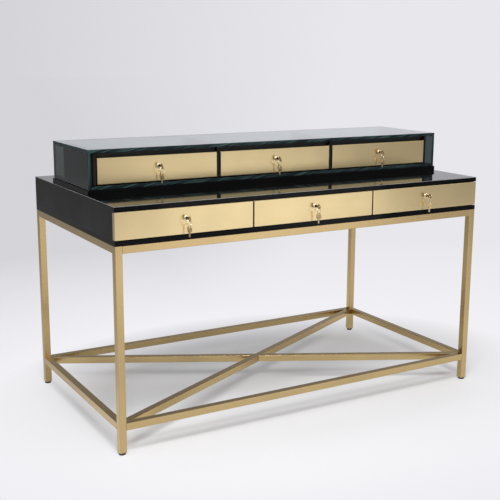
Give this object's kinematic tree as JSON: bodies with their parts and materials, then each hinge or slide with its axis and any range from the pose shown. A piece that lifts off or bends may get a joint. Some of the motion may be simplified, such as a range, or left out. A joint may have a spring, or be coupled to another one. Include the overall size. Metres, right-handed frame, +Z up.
{
  "type": "display table with drawers",
  "caption": "Brass tube-frame table with a black drawer cabinet and a glass display case on top, whose brass-fronted drawers slide out and lock with keys.",
  "frame": {"origin": "on the floor, under the middle of the object's bounding box, keys included", "axes": "+X along the front to the right, the front faces -Y, +Z up"},
  "size_m": [1.5, 0.8306, 0.979],
  "materials": {
    "brass_tube": "satin brushed",
    "brass_sheet": "fine horizontal brush",
    "brass_lock": "polished",
    "brass_key": "worn polish",
    "black_gloss": "high gloss lacquer",
    "black_satin": "satin lacquer",
    "drawer_wood": "stained, with a pale lining",
    "glass": "clear float glass with green edges",
    "black_rubber": "matt"
  },
  "bodies": {
    "root": {"leg_front_left": "brass_tube", "leg_front_right": "brass_tube", "leg_back_left": "brass_tube", "leg_back_right": "brass_tube", "top_rail_front": "brass_tube", "top_rail_back": "brass_tube", "top_rail_left": "brass_tube", "top_rail_right": "brass_tube", "stretcher_front": "brass_tube", "stretcher_back": "brass_tube", "stretcher_left": "brass_tube", "stretcher_right": "brass_tube", "cross_brace_front_left": "brass_tube", "cross_brace_back_left": "brass_tube", "glide_front_left": "black_rubber", "glide_front_right": "black_rubber", "glide_back_left": "black_rubber", "glide_back_right": "black_rubber", "cabinet_base": "black_satin", "cabinet_top": "black_gloss", "cabinet_side_left": "black_satin", "cabinet_side_right": "black_satin", "cabinet_back": "black_satin", "cabinet_partition_left": "black_satin", "cabinet_partition_right": "black_satin", "case_plinth": "black_gloss", "case_glass_floor": "glass", "case_glass_left": "glass", "case_glass_right": "glass", "case_glass_back": "glass", "case_glass_top": "glass", "case_upright_1": "black_satin", "case_upright_2": "black_satin", "case_upright_3": "black_satin", "case_upright_4": "black_satin", "case_lock_rail": "black_satin"},
    "drawer_lower_left": {"drawer_front_lower_left": "brass_sheet", "drawer_box_lower_left": "drawer_wood", "lock_lower_left": "brass_lock"},
    "drawer_lower_middle": {"drawer_front_lower_middle": "brass_sheet", "drawer_box_lower_middle": "drawer_wood", "lock_lower_middle": "brass_lock"},
    "drawer_lower_right": {"drawer_front_lower_right": "brass_sheet", "drawer_box_lower_right": "drawer_wood", "lock_lower_right": "brass_lock"},
    "drawer_upper_left": {"drawer_front_upper_left": "brass_sheet", "drawer_box_upper_left": "drawer_wood", "lock_upper_left": "brass_lock"},
    "drawer_upper_middle": {"drawer_front_upper_middle": "brass_sheet", "drawer_box_upper_middle": "drawer_wood", "lock_upper_middle": "brass_lock"},
    "drawer_upper_right": {"drawer_front_upper_right": "brass_sheet", "drawer_box_upper_right": "drawer_wood", "lock_upper_right": "brass_lock"},
    "key_turn_lower_left": {"key_lower_left": "brass_key"},
    "key_turn_lower_middle": {"key_lower_middle": "brass_key"},
    "key_turn_lower_right": {"key_lower_right": "brass_key"},
    "key_turn_upper_left": {"key_upper_left": "brass_key"},
    "key_turn_upper_middle": {"key_upper_middle": "brass_key"},
    "key_turn_upper_right": {"key_upper_right": "brass_key"}
  },
  "joints": [
    {"name": "slide_lower_left", "type": "slide", "parent": "root", "child": "drawer_lower_left", "axis": [0, -1, 0], "range_m": [0, 0.36]},
    {"name": "slide_lower_middle", "type": "slide", "parent": "root", "child": "drawer_lower_middle", "axis": [0, -1, 0], "range_m": [0, 0.36]},
    {"name": "slide_lower_right", "type": "slide", "parent": "root", "child": "drawer_lower_right", "axis": [0, -1, 0], "range_m": [0, 0.36]},
    {"name": "slide_upper_left", "type": "slide", "parent": "root", "child": "drawer_upper_left", "axis": [0, -1, 0], "range_m": [0, 0.18]},
    {"name": "slide_upper_middle", "type": "slide", "parent": "root", "child": "drawer_upper_middle", "axis": [0, -1, 0], "range_m": [0, 0.18]},
    {"name": "slide_upper_right", "type": "slide", "parent": "root", "child": "drawer_upper_right", "axis": [0, -1, 0], "range_m": [0, 0.18]},
    {"name": "turn_lower_left", "type": "hinge", "parent": "drawer_lower_left", "child": "key_turn_lower_left", "pos_m": [-0.501, -0.3847, 0.771], "axis": [0, 1, 0], "range_deg": [0, 90]},
    {"name": "turn_lower_middle", "type": "hinge", "parent": "drawer_lower_middle", "child": "key_turn_lower_middle", "pos_m": [0, -0.3847, 0.771], "axis": [0, 1, 0], "range_deg": [0, 90]},
    {"name": "turn_lower_right", "type": "hinge", "parent": "drawer_lower_right", "child": "key_turn_lower_right", "pos_m": [0.501, -0.3847, 0.771], "axis": [0, 1, 0], "range_deg": [0, 90]},
    {"name": "turn_upper_left", "type": "hinge", "parent": "drawer_upper_left", "child": "key_turn_upper_left", "pos_m": [-0.47625, -0.1217, 0.911], "axis": [0, 1, 0], "range_deg": [0, 90]},
    {"name": "turn_upper_middle", "type": "hinge", "parent": "drawer_upper_middle", "child": "key_turn_upper_middle", "pos_m": [0, -0.1217, 0.911], "axis": [0, 1, 0], "range_deg": [0, 90]},
    {"name": "turn_upper_right", "type": "hinge", "parent": "drawer_upper_right", "child": "key_turn_upper_right", "pos_m": [0.47625, -0.1217, 0.911], "axis": [0, 1, 0], "range_deg": [0, 90]}
  ]
}
